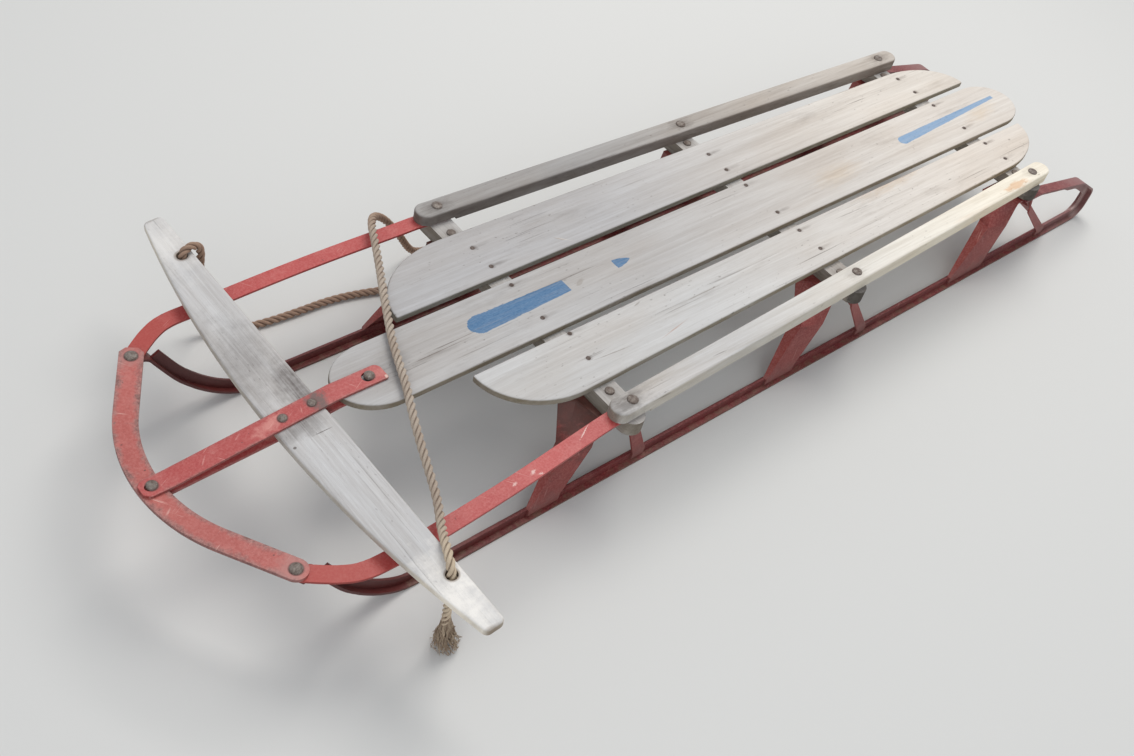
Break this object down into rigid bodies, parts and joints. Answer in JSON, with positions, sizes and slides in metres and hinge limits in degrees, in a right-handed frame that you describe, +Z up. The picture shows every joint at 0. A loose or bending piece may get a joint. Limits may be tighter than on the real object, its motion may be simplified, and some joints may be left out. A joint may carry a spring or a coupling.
{
  "type": "steerable runner sled",
  "caption": "Steerable sled with a slatted wooden deck, side rails, steel runners on arched knees, a pivoting crossbar that swings the bow, and a tow rope.",
  "frame": {"origin": "on the ground under the middle of the sled's length and width", "axes": "+X forward, towards the bow; +Y to the rider's left; +Z up"},
  "size_m": [1.462, 0.604, 0.1556],
  "materials": {
    "wood": "bare wood weathered to a pale grey",
    "painted_steel": "faded red paint, rubbed and chipped",
    "fasteners": "dull, grey and rusty",
    "rope": "twisted three-strand rope, worn"
  },
  "bodies": {
    "root": {"slat_center": "wood", "slat_left": "wood", "slat_right": "wood", "bench_front": "wood", "bench_mid": "wood", "bench_rear": "wood", "rail_left": "wood", "rail_right": "wood", "side_strap_left": "painted_steel", "side_strap_right": "painted_steel", "runner_left": "painted_steel", "runner_right": "painted_steel", "knee_front_left": "painted_steel", "knee_front_right": "painted_steel", "knee_mid_left": "painted_steel", "knee_mid_right": "painted_steel", "knee_rear_left": "painted_steel", "knee_rear_right": "painted_steel", "bench_rivets": "fasteners", "rail_bolts": "fasteners", "nose_bolt": "fasteners"},
    "steering": {"steer_bar": "wood", "steer_strap_upper": "painted_steel", "steer_strap_lower": "painted_steel", "bar_rivets": "fasteners", "tow_rope": "rope", "rope_knot_left": "rope", "rope_knot_right": "rope"},
    "bow": {"bow": "painted_steel", "corner_rivets": "fasteners", "bow_bolt": "fasteners"}
  },
  "joints": [
    {"name": "steer_turn", "type": "hinge", "parent": "root", "child": "steering", "pos_m": [0.482, 0.0055, 0.14], "axis": [0, 0, 1], "range_deg": [-6, 6], "deforming": ["tow_rope", "rope_knot_left", "rope_knot_right"]},
    {"name": "bow_slide", "type": "slide", "parent": "root", "child": "bow", "axis": [0, 1, 0], "range_m": [-0.026, 0.026], "stiffness_N_per_m": 1500, "deforming": ["side_strap_left", "side_strap_right", "runner_left", "runner_right"]}
  ],
  "couplings": [
    {"joint": "bow_slide", "follows": "steer_turn", "m_per_rad": 0.2355}
  ]
}
